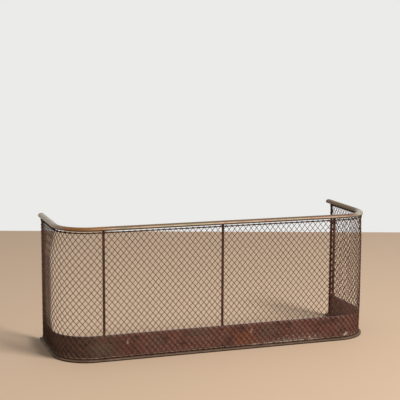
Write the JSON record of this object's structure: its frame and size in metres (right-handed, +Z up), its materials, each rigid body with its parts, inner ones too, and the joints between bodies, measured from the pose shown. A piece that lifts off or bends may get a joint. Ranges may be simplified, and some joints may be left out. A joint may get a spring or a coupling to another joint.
{
  "type": "fire fender",
  "caption": "Low free-standing hearth fender of woven diamond wire on an iron foot and skirt, round front corners, open back, under a rounded brass top rail.",
  "frame": {"origin": "on the floor, at the centre of the fender's outer box in plan", "axes": "+X along the long front, to the right seen from the room; +Y from the front towards the chimney breast, where the fender is open; +Z up"},
  "size_m": [1.02, 0.325, 0.404],
  "materials": {
    "rail_brass": "aged brass, worn and toned olive to brown",
    "bar_iron": "old dark brown paint over rust",
    "wire_iron": "dark brown rusted wire, matt",
    "skirt_iron": "old red-brown paint, rubbed and chipped",
    "foot_iron": "handled iron, olive grey and brown, worn bright on the nose"
  },
  "bodies": {
    "root": {"base_rail": "foot_iron", "skirt": "skirt_iron", "rear_post_left": "bar_iron", "rear_post_right": "bar_iron", "front_stay_left": "bar_iron", "front_stay_centre": "bar_iron", "front_stay_right": "bar_iron", "bottom_rod": "wire_iron", "top_rod": "wire_iron", "rod_stud_bottom_left": "bar_iron", "rod_stud_bottom_centre": "bar_iron", "rod_stud_bottom_right": "bar_iron", "rod_stud_top_left": "bar_iron", "rod_stud_top_centre": "bar_iron", "rod_stud_top_right": "bar_iron", "skirt_rivet_left": "bar_iron", "skirt_rivet_centre": "bar_iron", "skirt_rivet_right": "bar_iron", "net_side_left": "wire_iron", "net_corner_left": "wire_iron", "net_front": "wire_iron", "net_corner_right": "wire_iron", "net_side_right": "wire_iron", "rail_core_bar": "bar_iron", "brass_top_rail": "rail_brass", "rail_end_left": "rail_brass", "rail_end_right": "rail_brass"}
  },
  "joints": []
}
